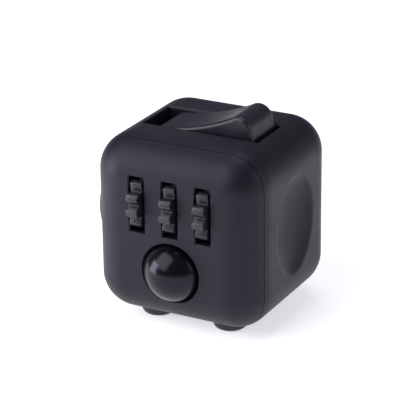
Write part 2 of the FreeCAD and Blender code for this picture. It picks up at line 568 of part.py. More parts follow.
# ---------------------------------------------------------------- front face: ball
def make_ball_unit():
    at = ("0", "-inner", "ball_z")
    pieces = [globe("ball", "ball", ("0", "ball_y", "ball_z"))]
    blank = turned("cup_blank", [("0", "cup_front"), ("cup", "cup_front"), ("cup", "cup_back - 0.2"),
                                 ("cup - 0.2", "cup_back"), ("0", "cup_back")], at, "+Y")
    pieces.append(cut("ball_cup", blank, [globe("cup_seat", "ball + running", ("0", "ball_y", "ball_z"))]))
    deep = "coil_room + 3 * wire + dome_height"
    body = turned("retainer_body", [
        ("ball_relief", "0"), ("ball_relief + retainer_wall", "0"), ("ball_relief + retainer_wall", "step + tab"),
        ("cup + fit + retainer_wall", "step + tab"), ("cup + fit + retainer_wall", deep + " + retainer_end"),
        ("0", deep + " + retainer_end"), ("0", deep), ("cup + fit", deep), ("cup + fit", "step"), ("ball_relief", "step")],
        at, "+Y")
    tabs = []
    holes = []
    for i, (x, z) in enumerate(BALL_SCREWS):
        span = ("ball_relief + 0.5", "ball_boss_side") if i else ("-ball_boss_side", "-ball_relief - 0.5")
        tabs.append(box("retainer_arm_%d" % i, span, (BALL_TAB_Y, BALL_TAB_Y + " + tab"), around("ball_z", "boss")))
        tabs.append(rod("retainer_tab_%d" % i, "boss", "tab", (x, BALL_TAB_Y, z), "+Y"))
        holes.append(rod("retainer_hole_%d" % i, "pilot", "tab + 1", (x, BALL_TAB_Y + " - 0.5", z), "+Y"))
    pieces.append(cut("ball_retainer", join("retainer_solid", [body] + tabs), holes))
    pieces.append(coil("ball_spring", "ball_coil", "wire", "3 * wire + dome_height", "1.5",
                       ("0", "coil_room - inner", "ball_z"), "+Y"))
    floor_at = ("0", "%s - inner" % deep, "ball_z")
    pieces.append(snap_dome("ball_snap_dome", "dome + 0.8", "dome_height", floor_at, "-Y"))
    return pieces


def snap_dome(name, radius, height, at, axis):
    """A thin pressed dome whose crown stands off its seat along the axis."""
    skin = "0.15"
    return turned(name, [
        (radius, "0"), (radius, skin), ("(%s) * 0.62" % radius, height), ("0", height),
        ("0", "%s - %s" % (height, skin)), ("(%s) * 0.55" % radius, "%s - %s" % (height, skin)),
        ("(%s) - 0.3" % radius, "0")], at, axis)


# ---------------------------------------------------------------- top face: rocker
def leaning(height):
    """A point at a height above the pivot, measured along the tilted rocker's own upright."""
    lean = math.radians(SIZES["rocker_tilt"])
    return ("rocker_shift - (%s) * %.6f" % (height, math.sin(lean)), "0",
            "pivot_z + (%s) * %.6f" % (height, math.cos(lean)))


def make_rocker_unit():
    tilt = FreeCAD.Rotation(FreeCAD.Vector(0, 1, 0), -SIZES["rocker_tilt"])
    pivot = ("rocker_shift", "0", "pivot_z")
    body = new("PartDesign::Body", "rocker_body")
    block = body.newObject("PartDesign::Pad", "rocker_pad")
    block.Profile = outline(body, "XZ_Plane", [
        ("-rocker_long", "-rocker_under"), ("rocker_long", "-rocker_under"), ("rocker_long", "rocker_tip"),
        ("-rocker_long", "rocker_tip")])
    bind(block, Length="2 * rocker_half")
    block.Midplane = True
    hollow = body.newObject("PartDesign::Pocket", "rocker_saddle")
    hollow.Profile = disc(body, "XZ_Plane", "0", "rocker_tip - rocker_dip + saddle", "saddle")
    hollow.Type = 1
    hollow.Midplane = True
    body.Tip = hollow
    place(body, pivot, tilt)

    def nose_edge(edge):
        ends = [vertex.Point for vertex in edge.Vertexes]
        along_y = len(ends) == 2 and abs(abs(ends[0].y - ends[1].y) - 2 * SIZES["rocker_half"]) < 1e-3
        return along_y and ends[0].z > 1 and abs(abs(ends[0].x) - SIZES["rocker_long"]) < 1e-3

    def flank_edge(edge):
        return all(abs(abs(vertex.Y) - SIZES["rocker_half"]) < 1e-3 for vertex in edge.Vertexes) and (
            max(vertex.Z for vertex in edge.Vertexes) > 0) and abs(
                edge.Vertexes[0].Y - edge.Vertexes[-1].Y) < 1e-3 and (
                    min(vertex.Z for vertex in edge.Vertexes) > -SIZES["rocker_under"] - 1e-3)

    soften(body, "nose", nose_edge)
    soften(body, "rocker_soft", flank_edge)
    bore = rod("plunger_bore", "plunger + running", "rocker_under + bore_top", ("0", "0", "0"), "+Z")
    place(bore, leaning("-rocker_under"), tilt)
    pin_hole = rod("pin_hole", "rocker_pin + running", "2 * rocker_half + 2",
                   ("rocker_shift", "-rocker_half - 1", "pivot_z"), "+Y")
    rocker = cut("rocker", body, [bore, pin_hole])
    pins = [rod("rocker_pin_%d" % i, "rocker_pin", "tray_half - plunger - 0.7", ("rocker_shift", y, "pivot_z"), "+Y")
            for i, y in enumerate(("-tray_half", "plunger + 0.7"))]
    plunger = turned("rocker_plunger", [
        ("0", "-plunger_reach"), ("plunger * 0.5", "-plunger_reach"), ("plunger * 0.87", "0.3 - plunger_reach"),
        ("plunger", "0.8 - plunger_reach"), ("plunger", "-plunger_top"), ("0", "-plunger_top")], pivot)
    place(plunger, pivot, tilt)
    spring_low = "(plunger_travel + 0.05 - plunger_top)"
    spring = coil("rocker_spring", "plunger - wire - 0.1", "wire", "bore_top - %s" % spring_low, "3", pivot, "+Z")
    place(spring, leaning(spring_low), tilt)
    return [rocker, group("rocker_pins", pins), plunger, spring]


def make_rocker_tray():
    """The tray below the pocket: it holds the pins and the seat that the plunger sweeps."""
    bottom = "pivot_z - tray_deep"
    form = box("tray_form", around("0", "tray_long"), around("0", "tray_half"), (bottom, "ceiling"))
    hollow = box("tray_hollow", around("0", "tray_long - tray_wall"), around("0", "tray_half - tray_wall"),
                 (bottom + " + tray_floor", "ceiling + 1"))
    walls = cut("tray_walls", form, [hollow])
    seat = box("seat_form", around("rocker_shift", "seat_half"), around("0", "2"),
               (bottom, "pivot_z - seat_top"))
    sweep = rod("seat_sweep", "plunger_reach + 0.15", "6", ("rocker_shift", "-3", "pivot_z"), "+Y")
    parts = [walls, cut("plunger_seat", seat, [sweep])]
    holes = []
    for i, y in enumerate(TRAY_SCREWS):
        span = ("tray_half - 0.5", "tray_tab_side") if i else ("-tray_tab_side", "0.5 - tray_half")
        parts.append(box("tray_arm_%d" % i, around("0", "boss"), span, (TRAY_TAB_Z + " - tab", TRAY_TAB_Z)))
        parts.append(rod("tray_tab_%d" % i, "boss", "tab", ("0", y, TRAY_TAB_Z + " - tab"), "+Z"))
        holes.append(rod("tray_hole_%d" % i, "pilot", "tab + 1", ("0", y, TRAY_TAB_Z + " - tab - 0.5"), "+Z"))
    holes.append(box("tray_clear", around("0", "tray_long - tray_wall"), around("0", "tray_half - tray_wall"),
                     ("pivot_z - seat_top", "ceiling + 1")))
    trimmed = overlap("tray_trim", join("tray_solid", parts), cavity)
    return cut("rocker_tray", trimmed, holes)


# ---------------------------------------------------------------- bottom face: click buttons
def make_buttons():
    pieces = []
    flange_low = "floor + running"
    flange_high = flange_low + " + flange_height"
    for name, (x, y) in BUTTON_SPOTS.items():
        body = turned("button_" + name, [
            ("0", "0"), ("button", "0"), ("button", flange_low), ("flange", flange_low), ("flange", flange_high),
            ("stem", flange_high), ("stem", "stem_top"), ("0", "stem_top")], (x, y, "0"))
        pieces.append(soften(body, "button_soft", circle_at(0, SIZES["button"] - 0.01, SIZES["button"] + 0.01)))
        pieces.append(snap_dome("dome_" + name, "dome", "plate_under - stem_top - 0.02", (x, y, "plate_under"), "-Z"))
    return pieces


def make_button_plate():
    """The plate over the click buttons that carries their domes, cut away around the ball's retainer."""
    form = box("plate_form", around("0", "plate_half"), around("0", "plate_half"),
               ("plate_under", "plate_under + plate"))
    notch = box("plate_notch_form", around("0", "plate_notch"), ("-plate_half - 1", "retainer_back + notch_gap"),
                ("plate_under - 1", "plate_under + plate + 1"))
    holes = [rod("plate_hole_%d" % i, "pilot", "plate + 1", (x, y, "plate_under - 0.5"), "+Z")
             for i, (x, y) in enumerate(BUTTON_SCREWS)]
    return cut("button_plate", form, [notch] + holes)


# ---------------------------------------------------------------- left face: dial
def make_dial_unit():
    at = ("-side", "0", "mid")
    body = turned("dial_blank", [
        ("0", "-dial_back - side_wall"), ("dial_spigot", "-dial_back - side_wall"),
        ("dial_spigot", "-side_wall - wheel_gap"), ("dial_shaft", "-side_wall - wheel_gap"),
        ("dial_shaft", "dial_gap"), ("dial", "dial_gap"),
        ("dial", "dial_stand"), ("dial_dish", "dial_stand"), ("dial_dish - 0.7", "dial_stand - dish_deep"),
        ("0", "dial_stand - dish_deep")], at, "-X")
    soften(body, "dial_soft", circle_at(SIZES["dial_stand"], SIZES["dial"] - 0.01, SIZES["dial"] + 0.01))
    finger = globe("finger_dimple", "finger_hole + 1.2",
                   ("-side - dial_stand + dish_deep - finger_hole", "0", "mid + finger_side"))
    thread = rod("dial_pilot", "pilot", "screw_bite + 0.5", ("dial_back - inner_side", "0", "mid"), "-X")
    dial = cut("dial", body, [finger, thread])
    wheel = toothed("dial_index_wheel", "dial_spigot", "wheel_root", "wheel_tip", "0.55", "0.35", "0.12",
                    "wheel_width", 20, ("wheel_gap - inner_side", "0", "mid"), TURNS["+X"])
    washer = turned("dial_washer", [("shank + 0.1", "0"), ("washer", "0"), ("washer", "washer_thick"),
                                    ("shank + 0.1", "washer_thick")], ("dial_back - inner_side", "0", "mid"), "+X")
    bolt = screw("dial_screw", ("dial_back + washer_thick - inner_side", "0", "mid"), "-X", "screw_bite")
    strip_x = ("2 * wheel_gap - inner_side", "wheel_gap + wheel_width - inner_side")
    strip = box("leaf_strip", strip_x, (LEAF_Y, LEAF_Y + " + leaf"), ("mid - 6.1", "mid + 1.2"))
    bump = rod("leaf_bump", "0.22", "wheel_width - wheel_gap", (strip_x[0], LEAF_Y, "mid"), "+X")
    return [dial, wheel, washer, bolt, join("dial_detent_spring", [strip, bump])]


# ---------------------------------------------------------------- back face: glide stick
def make_stick_unit():
    centre = ("0", "stick_y", "mid")
    shell = cut("stick_shell", globe("stick_globe", "stick_dome", centre),
                [globe("stick_hollow", "stick_dome - dome_wall", centre),
                 box("stick_trim", wide, ("-half", "stick_y + skirt"), tall)])
    parts = [
        shell,
        rod("stick_stem_rod", "stick_stem", "stick_plate + 1", ("0", "stick_y - 1", "mid"), "+Y"),
        rod("stick_neck", "neck", "stick_plate - stick_dome + dome_wall / 2",
            ("0", "stick_y + stick_dome - dome_wall / 2", "mid"), "+Y"),
        rod("stick_plate_disc", "stick_disc", "0.8", ("0", "stick_y + stick_plate", "mid"), "+Y"),
        rod("stick_trunnions", "trunnion", "2 * ring_out - 0.4", ("0", "stick_y", "mid - ring_out + 0.2"), "+Z"),
    ]
    stick = join("joystick", parts)
    plate_y = ("0", "stick_y + stick_plate", "mid")
    pad = turned("joystick_cap", [
        ("stick_disc + 0.02", "0"), ("stick_pad", "0"), ("stick_pad", "pad_thick"), ("stick_pad - 0.9", "pad_thick"),
        ("stick_pad - 2.4", "pad_thick - pad_dish"), ("0", "pad_thick - pad_dish"), ("0", "0.82"),
        ("stick_disc + 0.02", "0.82")], plate_y, "+Y")
    soften(pad, "0.5", circle_at(SIZES["pad_thick"], SIZES["stick_pad"] - 0.01, SIZES["stick_pad"] + 0.01))
    blank = turned("gimbal_blank", [("ring_in", "-ring_half"), ("ring_out", "-ring_half"), ("ring_out", "ring_half"),
                                    ("ring_in", "ring_half")], centre, "+Y")
    studs = [rod("gimbal_stud_%d" % i, "trunnion", "ear_out - ring_in - 0.4", (x, "stick_y", "mid"), "+X")
             for i, x in enumerate(("0.2 - ear_out", "ring_in + 0.2"))]
    ring_holes = rod("gimbal_holes", "trunnion + running", "2 * ring_out + 2", ("0", "stick_y", "mid - ring_out - 1"),
                     "+Z")
    ring = cut("gimbal_ring", join("gimbal_solid", [blank] + studs), [ring_holes])
    base = box("frame_base", around("0", "stick_boss_side"), (FRAME_Y + " - frame_thick", FRAME_Y),
               around("mid", "frame_half"))
    solids = [base]
    holes = [rod("frame_ear_holes", "trunnion + running", "2 * ear_out + 2", ("-ear_out - 1", "stick_y", "mid"), "+X")]
    for i, x in enumerate(STICK_SCREWS):
        span = ("ear_in", "ear_out") if i else ("-ear_out", "-ear_in")
        solids.append(box("frame_ear_%d" % i, span, (FRAME_Y, "stick_y + ear_top"), around("mid", "1.5")))
        solids.append(rod("frame_end_%d" % i, "frame_half", "frame_thick", (x, FRAME_Y, "mid"), "-Y"))
        holes.append(rod("frame_hole_%d" % i, "pilot", "frame_thick + 1", (x, FRAME_Y + " + 0.5", "mid"), "-Y"))
    frame = cut("joystick_frame", join("frame_solid", solids), holes)
    spring = coil("joystick_spring", "stick_coil", "wire", "frame_drop - 1.8", "4", ("0", FRAME_Y, "mid"), "+Y")
    return [stick, pad, ring, frame, spring]


# ---------------------------------------------------------------- screws
def make_screws():
    sets = {
        "gear_bracket_screws": [(x, GEAR_TAB_Y + " + tab", z, "-Y") for x, z in GEAR_SCREWS],
        "ball_retainer_screws": [(x, BALL_TAB_Y + " + tab", z, "-Y") for x, z in BALL_SCREWS],
        "button_plate_screws": [(x, y, "plate_under + plate", "-Z") for x, y in BUTTON_SCREWS],
        "joystick_frame_screws": [(x, FRAME_Y + " - frame_thick", "mid", "+Y") for x in STICK_SCREWS],
        "rocker_tray_screws": [("0", y, TRAY_TAB_Z + " - tab", "+Z") for y in TRAY_SCREWS],
    }
    made = []
    for name, spots in sets.items():
        made.append(group(name, [screw("%s_%d" % (name, i), spot[:3], spot[3], "screw_bite")
                                 for i, spot in enumerate(spots)]))
    return made


subparts = [make_front_cover(), make_housing()]
subparts += make_gears() + [make_gear_bracket(), make_gear_spring()] + make_ball_unit()
subparts += make_rocker_unit() + [make_rocker_tray()] + make_buttons() + [make_button_plate()]
subparts += make_dial_unit() + make_stick_unit() + make_screws()
doc.recompute()

for thing in doc.Objects:
    if "Invalid" in thing.State or "Error" in thing.State:
        raise RuntimeError("%s failed: %s" % (thing.Name, thing.State))
for thing in subparts:
    if thing.Shape.isNull() or not thing.Shape.isValid():
        raise RuntimeError(thing.Label + " has no valid shape")

os.makedirs("parts", exist_ok=True)
for thing in subparts:
    thing.Shape.exportStep("parts/%s.step" % thing.Label)
    print("%-24s %2d solid(s) %9.2f mm3" % (thing.Label, len(thing.Shape.Solids), thing.Shape.Volume))
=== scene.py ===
import math

import bmesh
import bpy
from bpy.props import FloatProperty, IntProperty, PointerProperty, StringProperty
from mathutils import Matrix, Vector


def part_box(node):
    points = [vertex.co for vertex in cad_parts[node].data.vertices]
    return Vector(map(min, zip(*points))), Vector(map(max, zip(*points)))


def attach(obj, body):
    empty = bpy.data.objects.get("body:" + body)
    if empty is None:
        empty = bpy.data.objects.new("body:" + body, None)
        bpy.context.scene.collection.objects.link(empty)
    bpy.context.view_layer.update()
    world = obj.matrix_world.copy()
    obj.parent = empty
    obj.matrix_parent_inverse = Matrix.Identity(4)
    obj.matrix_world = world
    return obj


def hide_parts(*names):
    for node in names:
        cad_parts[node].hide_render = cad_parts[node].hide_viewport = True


bl_info = {
    "name": "Fidget Cube",
    "version": (1, 0, 0),
    "blender": (4, 5, 0),
    "location": "View3D > Sidebar > Fidget Cube",
    "description": "Dresses a six-sided desk fidget: shell, gears, ball, rocker, dial, glide stick and feet",
    "category": "Object",
}

MM = 0.001

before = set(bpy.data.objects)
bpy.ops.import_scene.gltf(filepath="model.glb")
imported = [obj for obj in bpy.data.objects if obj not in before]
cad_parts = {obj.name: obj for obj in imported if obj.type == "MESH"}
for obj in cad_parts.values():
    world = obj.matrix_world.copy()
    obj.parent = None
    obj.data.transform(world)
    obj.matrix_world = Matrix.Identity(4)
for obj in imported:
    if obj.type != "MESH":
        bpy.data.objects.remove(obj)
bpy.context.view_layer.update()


def middle(node):
    low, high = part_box(node)
    return (low + high) / 2


SHELL_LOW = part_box("front_cover")[0]
SHELL_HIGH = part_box("housing")[1]
CUBE = Vector((0, 0, (SHELL_LOW.z + SHELL_HIGH.z) / 2))
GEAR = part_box("gear_middle")
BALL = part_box("ball")
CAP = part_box("joystick_cap")


# ------------------------------------------------------------------ sizes and colours to change
class ShellFinish(bpy.types.PropertyGroup):
    coat: StringProperty(name="Coat colour", description="Soft-touch coat, as a hex colour",
                         default="#090911")
    grain: FloatProperty(name="Grain", description="Width of one bump of the coat's matt grain",
                         default=0.34 * MM, min=0.05 * MM, max=2 * MM, subtype="DISTANCE", unit="LENGTH",
                         precision=5)
    roughness: FloatProperty(name="Roughness", description="How matt the coat is", default=0.5, min=0,
                             max=1, subtype="FACTOR")


class GearSizes(bpy.types.PropertyGroup):
    teeth: IntProperty(name="Teeth", description="Teeth on each gear", default=10, min=6, max=24)
    tip: FloatProperty(name="Tip radius", description="From a gear's axle out to its teeth's tips",
                       default=5.15 * MM, min=3 * MM, max=6 * MM, subtype="DISTANCE", unit="LENGTH",
                       precision=5)
    fill: FloatProperty(name="Tooth fill", description="Half a tooth's root width, over the root radius",
                        default=0.28, min=0.1, max=0.3, subtype="FACTOR")
    crest: FloatProperty(name="Tooth crest", description="Half a tooth's tip width, over the tip radius",
                         default=0.135, min=0.05, max=0.2, subtype="FACTOR")
    depth: FloatProperty(name="Tooth depth", description="From a tooth's tip down to its root",
                         default=1.2 * MM, min=0.3 * MM, max=2 * MM, subtype="DISTANCE", unit="LENGTH",
                         precision=5)
    phase: FloatProperty(name="Phase", description="How far round the teeth stand at rest",
                         default=math.radians(14), subtype="ANGLE", unit="ROTATION")
    bore: FloatProperty(name="Bore", description="Radius of the hole for the axle", default=0.95 * MM,
                        min=0.2 * MM, max=3 * MM, subtype="DISTANCE", unit="LENGTH", precision=5)
    edge: FloatProperty(name="Edge rounding", description="Rounding of the teeth's edges",
                        default=0.16 * MM, min=0.02 * MM, max=0.2 * MM, subtype="DISTANCE", unit="LENGTH",
                        precision=5)
    colour: StringProperty(name="Colour", description="Acetal, as a hex colour", default="#1B1B24")


class BallSizes(bpy.types.PropertyGroup):
    witness: FloatProperty(name="Parting line",
                           description="Height of the polished-down line round the ball",
                           default=0.012 * MM, min=0, max=0.1 * MM, subtype="DISTANCE", unit="LENGTH",
                           precision=6)
    line: FloatProperty(name="Parting line width", description="Half the width of the line round the ball",
                        default=0.14 * MM, min=0.02 * MM, max=1 * MM, subtype="DISTANCE", unit="LENGTH",
                        precision=5)
    colour: StringProperty(name="Colour", description="Polished ABS, as a hex colour", default="#050507")


class StickSizes(bpy.types.PropertyGroup):
    rings: IntProperty(name="Grip rings", description="Raised rings in the cap's hollow", default=3, min=0,
                       max=6)
    ring_height: FloatProperty(name="Ring height", description="How far a grip ring stands up",
                               default=0.16 * MM, min=0, max=0.4 * MM, subtype="DISTANCE", unit="LENGTH",
                               precision=5)
    lip: FloatProperty(name="Lip", description="Width of the raised lip round the hollow", default=2.4 * MM,
                       min=0.5 * MM, max=4 * MM, subtype="DISTANCE", unit="LENGTH", precision=5)
    hollow: FloatProperty(name="Hollow", description="How far the middle is sunk below the lip",
                          default=0.5 * MM, min=0, max=1 * MM, subtype="DISTANCE", unit="LENGTH",
                          precision=5)


class StageSettings(bpy.types.PropertyGroup):
    azimuth: FloatProperty(name="Azimuth", description="Camera's turn to the right of the gear face",
                           default=math.radians(28.27), subtype="ANGLE", unit="ROTATION")
    elevation: FloatProperty(name="Elevation", description="Camera's height above level",
                             default=math.radians(22.35), subtype="ANGLE", unit="ROTATION")
    roll: FloatProperty(name="Roll", description="Camera's tilt", default=math.radians(-0.68),
                        subtype="ANGLE", unit="ROTATION")
    distance: FloatProperty(name="Distance", description="Camera's distance from the cube's middle",
                            default=374.4 * MM, min=0.1, max=5, subtype="DISTANCE", unit="LENGTH")
    lens: FloatProperty(name="Lens", description="Focal length in millimetres on a 36 mm sensor",
                        default=174.9, min=20, max=400)
    floor: StringProperty(name="Floor colour", description="Paper floor, as a hex colour",
                          default="#F6F6F8")
    glow: FloatProperty(name="Light table", description="How brightly the floor is lit from below",
                        default=0.64, min=0, max=2)
    room: FloatProperty(name="Room light", description="Brightness of the dim room around", default=0.22,
                        min=0, max=2)
    key: FloatProperty(name="Light power", description="Power that each soft light gives its own share of",
                       default=0.35, min=0, max=100, unit="POWER")


# ------------------------------------------------------------------ small tools
def linear(text):
    """An sRGB hex colour as linear red, green, blue, alpha."""
    parts = [int(text.lstrip("#")[i:i + 2], 16) / 255 for i in (0, 2, 4)]
    return tuple(c / 12.92 if c <= 0.04045 else ((c + 0.055) / 1.055) ** 2.4 for c in parts) + (1.0,)


def add(tree, kind, settings=None, **inputs):
    """Add a shader node. Settings are its own choices; an input is a value, or the socket that feeds it."""
    node = tree.nodes.new("ShaderNode" + kind)
    for name, value in (settings or {}).items():
        if name == "stops":
            ramp = node.color_ramp
            while len(ramp.elements) < len(value):
                ramp.elements.new(0.5)
            for stop, (place, colour) in zip(ramp.elements, value):
                stop.position = place
                stop.color = colour
        else:
            setattr(node, name, value)
    for name, value in inputs.items():
        names = {socket.name.lower().replace(" ", "_"): socket for socket in reversed(node.inputs)}
        names.update({"in%d" % i: socket for i, socket in enumerate(node.inputs)})
        if isinstance(value, bpy.types.NodeSocket):
            tree.links.new(value, names[name])
        else:
            names[name].default_value = value
    return node


def new_material(name, **shader):
    """A material with one Principled shader, and the object's own coordinates in metres."""
    material = bpy.data.materials.new(name)
    material.use_nodes = True
    tree = material.node_tree
    tree.nodes.clear()
    out = add(tree, "OutputMaterial")
    bsdf = add(tree, "BsdfPrincipled", **shader)
    tree.links.new(bsdf.outputs[0], out.inputs[0])
    where = add(tree, "TexCoord").outputs["Object"]
    return material, tree, bsdf, where


def tone(tree, where, colour, size, spread):
    """A colour that drifts a little lighter and darker, in patches of a real size."""
    patches = add(tree, "TexNoise", vector=where, scale=1 / size, detail=3.0, roughness=0.55)
    red, green, blue, _ = linear(colour)
    low = tuple(c * (1 - spread) for c in (red, green, blue)) + (1.0,)
    high = tuple(min(1, c * (1 + spread)) for c in (red, green, blue)) + (1.0,)
    return add(tree, "ValToRGB", {"stops": [(0.3, low), (0.7, high)]},
               fac=patches.outputs["Fac"]).outputs[0]


def spread_of(tree, where, size, low, high):
    """A number between two values, drifting in patches of a real size."""
    patches = add(tree, "TexNoise", vector=where, scale=1 / size, detail=2.0, roughness=0.6)
    return add(tree, "MapRange", value=patches.outputs["Fac"], from_min=0.3, from_max=0.7, to_min=low,
               to_max=high).outputs[0]


def waves(apart):
    """The scale at which a wave texture's crests stand this far apart."""
    return math.pi / 10 / apart


def soft_touch_coated_abs(finish):
    """Moulded ABS sprayed with a matt rubbery coat: no sharp reflections, a broad bluish sheen, a fine dry
    grain, and edges rubbed very slightly smoother by fingers."""
    material, tree, bsdf, where = new_material("soft_touch_coated_abs", ior=1.48, metallic=0.0)
    bsdf.inputs["Specular IOR Level"].default_value = 0.38
    bsdf.inputs["Specular Tint"].default_value = linear("#EDEDFF")
    bsdf.inputs["Sheen Weight"].default_value = 0.03
    bsdf.inputs["Sheen Roughness"].default_value = 0.45
    bsdf.inputs["Sheen Tint"].default_value = linear("#C9CBE6")
    coat = tone(tree, where, finish.coat, 9 * MM, 0.07)
    # where the surface turns an edge the coat is rubbed: a little smoother and a shade lighter
    bend = add(tree, "NewGeometry").outputs["Pointiness"]
    rubbed = add(tree, "MapRange", value=bend, from_min=0.5, from_max=0.62, to_min=0.0,
                 to_max=1.0).outputs[0]
    lighter = add(tree, "Mix", {"data_type": "RGBA"}, factor=rubbed)
    tree.links.new(coat, lighter.inputs[6])
    lighter.inputs[7].default_value = linear("#101019")
    tree.links.new(lighter.outputs[2], bsdf.inputs["Base Color"])
    rough = spread_of(tree, where, 6 * MM, finish.roughness - 0.03, finish.roughness + 0.04)
    smoother = add(tree, "Math", {"operation": "MULTIPLY_ADD"}, in0=rubbed, in1=-0.06, in2=rough).outputs[0]
    tree.links.new(smoother, bsdf.inputs["Roughness"])
    # the coat's grain is near 0.08 mm, too fine to show, so it is drawn about four times as coarse
    fine = add(tree, "TexNoise", vector=where, scale=1 / finish.grain, detail=3.0,
               roughness=0.6).outputs["Fac"]
    wavy = add(tree, "TexNoise", vector=where, scale=1 / (5 * MM), detail=1.0).outputs["Fac"]
    peel = add(tree, "Bump", distance=0.03 * MM, strength=0.35, height=wavy).outputs[0]
    grain = add(tree, "Bump", distance=0.012 * MM, strength=0.6, height=fine, normal=peel).outputs[0]
    tree.links.new(grain, bsdf.inputs["Normal"])
    return material


def moulded_acetal(name, colour, roughness=0.36):
    """Injection-moulded acetal: waxy, a satin gleam on each facet, faint waves left by the mould's cutter."""
    material, tree, bsdf, where = new_material(name, ior=1.48, metallic=0.0)
    tree.links.new(tone(tree, where, colour, 1.4 * MM, 0.14), bsdf.inputs["Base Color"])
    tree.links.new(spread_of(tree, where, 0.9 * MM, roughness - 0.05, roughness + 0.09),
                   bsdf.inputs["Roughness"])
    # the mould's cutter marks are 0.1 mm apart, drawn as waves 1.9 mm apart so that they show
    marks = add(tree, "TexWave", {"bands_direction": "X", "wave_profile": "SIN"}, vector=where,
                scale=waves(1.885 * MM), distortion=1.2, detail=2.0, detail_scale=2.0).outputs["Fac"]
    lines = add(tree, "Bump", distance=0.02 * MM, strength=0.5, height=marks).outputs[0]
    fine = add(tree, "TexNoise", vector=where, scale=1 / (0.2 * MM), detail=2.0).outputs["Fac"]
    grain = add(tree, "Bump", distance=0.01 * MM, strength=0.5, height=fine, normal=lines).outputs[0]
    tree.links.new(grain, bsdf.inputs["Normal"])
    return material


def polished_abs(name, colour):
    """ABS from a mirror-polished mould: a hard clear gloss, with a haze of hair-fine rubbing scratches."""
    material, tree, bsdf, where = new_material(name, ior=1.5, metallic=0.0)
    bsdf.inputs["Specular IOR Level"].default_value = 0.32
    bsdf.inputs["Specular Tint"].default_value = linear("#E6E6FF")
    tree.links.new(tone(tree, where, colour, 3 * MM, 0.1), bsdf.inputs["Base Color"])
    # rubbing scratches are a few hundredths of a millimetre wide, drawn 0.15 mm wide
    along = add(tree, "Mapping", vector=where, scale=(1.0, 0.25, 1.0)).outputs[0]
    hair = add(tree, "TexNoise", vector=along, scale=1 / (0.15 * MM), detail=4.0,
               roughness=0.7).outputs["Fac"]
    rough = add(tree, "MapRange", value=hair, from_min=0.35, from_max=0.75, to_min=0.16,
                to_max=0.25).outputs[0]
    tree.links.new(rough, bsdf.inputs["Roughness"])
    wave = add(tree, "TexNoise", vector=where, scale=1 / (2.5 * MM), detail=1.0).outputs["Fac"]
    skin = add(tree, "Bump", distance=0.01 * MM, strength=0.25, height=wave).outputs[0]
    tree.links.new(skin, bsdf.inputs["Normal"])
    return material


def spark_textured_abs(name, colour, roughness):
    """ABS moulded against a spark-eroded tool: an even, fine satin with tiny pits."""
    material, tree, bsdf, where = new_material(name, ior=1.53, metallic=0.0)
    tree.links.new(tone(tree, where, colour, 5 * MM, 0.08), bsdf.inputs["Base Color"])
    tree.links.new(spread_of(tree, where, 2.5 * MM, roughness - 0.04, roughness + 0.05),
                   bsdf.inputs["Roughness"])
    # spark pits are 0.05 mm across, drawn 0.28 mm across so that they show
    pit = 0.28 * MM
    pits = add(tree, "TexVoronoi", vector=where, scale=1 / pit).outputs["Distance"]
    fine = add(tree, "TexNoise", vector=where, scale=1 / pit, detail=3.0).outputs["Fac"]
    pitted = add(tree, "Bump", distance=0.01 * MM, strength=0.35, height=pits).outputs[0]
    grainy = add(tree, "Bump", distance=0.012 * MM, strength=0.5, height=fine, normal=pitted).outputs[0]
    tree.links.new(grainy, bsdf.inputs["Normal"])
    return material


def moulded_silicone(name, colour):
    """Compression-moulded silicone rubber: dull, with a dusty broad sheen."""
    material, tree, bsdf, where = new_material(name, ior=1.41, metallic=0.0)
    bsdf.inputs["Sheen Weight"].default_value = 0.25
    bsdf.inputs["Sheen Roughness"].default_value = 0.6
    tree.links.new(tone(tree, where, colour, 2.5 * MM, 0.12), bsdf.inputs["Base Color"])
    tree.links.new(spread_of(tree, where, 1.5 * MM, 0.5, 0.65), bsdf.inputs["Roughness"])
    fine = add(tree, "TexNoise", vector=where, scale=1 / (0.3 * MM), detail=3.0).outputs["Fac"]
    tree.links.new(add(tree, "Bump", distance=0.015 * MM, strength=0.5, height=fine).outputs[0],
                   bsdf.inputs["Normal"])
    return material


def drawn_spring_steel(name):
    """Steel wire drawn through a die: bright, with fine die marks and a faint straw tint of heat."""
    material, tree, bsdf, where = new_material(name, metallic=1.0)
    tree.links.new(tone(tree, where, "#B9B3A6", 1.5 * MM, 0.12), bsdf.inputs["Base Color"])
    tree.links.new(spread_of(tree, where, 0.3 * MM, 0.2, 0.34), bsdf.inputs["Roughness"])
    streak = add(tree, "TexNoise", vector=where, scale=1 / (0.12 * MM), detail=3.0).outputs["Fac"]
    tree.links.new(add(tree, "Bump", distance=0.004 * MM, strength=0.5, height=streak).outputs[0],
                   bsdf.inputs["Normal"])
    return material


def turned_zinc_plated_steel(name):
    """Turned steel with a zinc plate: cool silver, with the lathe tool's rings showing as soft glints."""
    material, tree, bsdf, where = new_material(name, metallic=1.0)
    tree.links.new(tone(tree, where, "#C4C7CC", 1.2 * MM, 0.1), bsdf.inputs["Base Color"])
    tree.links.new(spread_of(tree, where, 0.5 * MM, 0.24, 0.38), bsdf.inputs["Roughness"])
    # the lathe's feed marks are 0.05 mm apart, drawn 1.26 mm apart so that they show
    rings = add(tree, "TexWave", {"wave_type": "RINGS"}, vector=where, scale=waves(1.257 * MM),
                distortion=0.6).outputs["Fac"]
    tree.links.new(add(tree, "Bump", distance=0.006 * MM, strength=0.4, height=rings).outputs[0],
                   bsdf.inputs["Normal"])
    return material


def finish_nodes(material, *names):
    """Give CAD nodes a material in place of the one that they came with."""
    for name in names:
        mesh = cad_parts[name].data
        mesh.materials.clear()
        mesh.materials.append(material)


